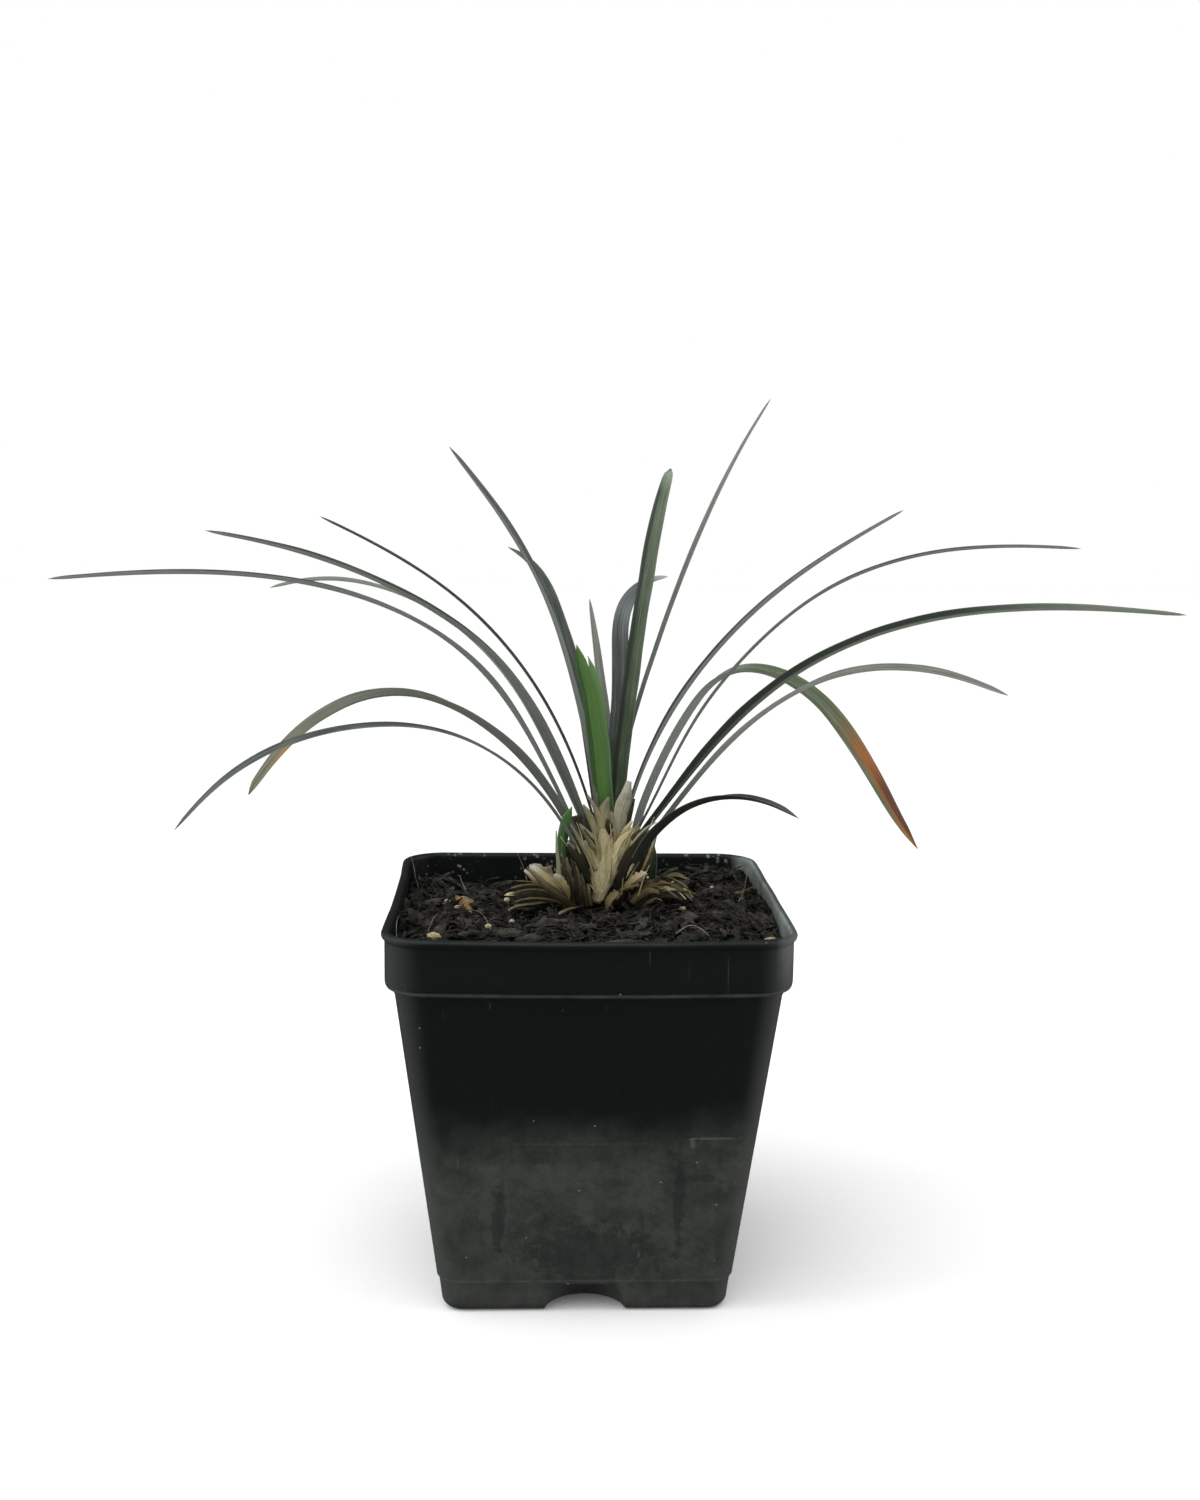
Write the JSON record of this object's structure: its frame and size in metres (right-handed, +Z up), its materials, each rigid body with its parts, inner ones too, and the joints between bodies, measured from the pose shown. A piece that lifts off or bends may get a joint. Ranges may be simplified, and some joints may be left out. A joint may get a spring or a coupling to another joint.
{
  "type": "potted mondo grass",
  "caption": "Clump of dark, arching strap leaves rising from a papery crown, growing in bark soil in a tapered square plastic nursery pot with a rolled lip and a notched foot.",
  "frame": {"origin": "centre of the pot's flat underside", "axes": "+X to the right along the front wall, +Y towards the back wall, +Z up out of the pot"},
  "size_m": [0.2558, 0.1564, 0.2283],
  "materials": {
    "pot_plastic": "satin, dusty near the foot",
    "potting_mix": "matte, crumbly bark and peat",
    "leaf": "satin, finely ribbed lengthwise",
    "young_leaf": "satin",
    "dry_sheath": "matte, fibrous",
    "dead_wood": "matte"
  },
  "bodies": {
    "root": {"pot": "pot_plastic", "soil": "potting_mix", "crown": "dry_sheath", "leaf_01": "leaf", "leaf_02": "leaf", "leaf_03": "leaf", "leaf_04": "leaf", "leaf_05": "leaf", "leaf_06": "leaf", "leaf_07": "leaf", "leaf_08": "leaf", "leaf_09": "leaf", "leaf_10": "leaf", "leaf_11": "leaf", "leaf_12": "leaf", "leaf_13": "leaf", "leaf_14": "leaf", "leaf_15": "leaf", "leaf_16": "leaf", "leaf_17": "leaf", "leaf_18": "leaf", "young_leaf_1": "young_leaf", "young_leaf_2": "young_leaf", "shoot_left": "young_leaf", "shoot_right": "young_leaf", "dry_flake": "dry_sheath", "dry_blade_1": "dry_sheath", "dry_blade_2": "dry_sheath", "dry_blade_3": "dry_sheath", "dry_blade_4": "dry_sheath", "dry_curl_1": "dry_sheath", "dry_curl_2": "dry_sheath", "twig": "dead_wood", "husk": "dead_wood"}
  },
  "joints": []
}
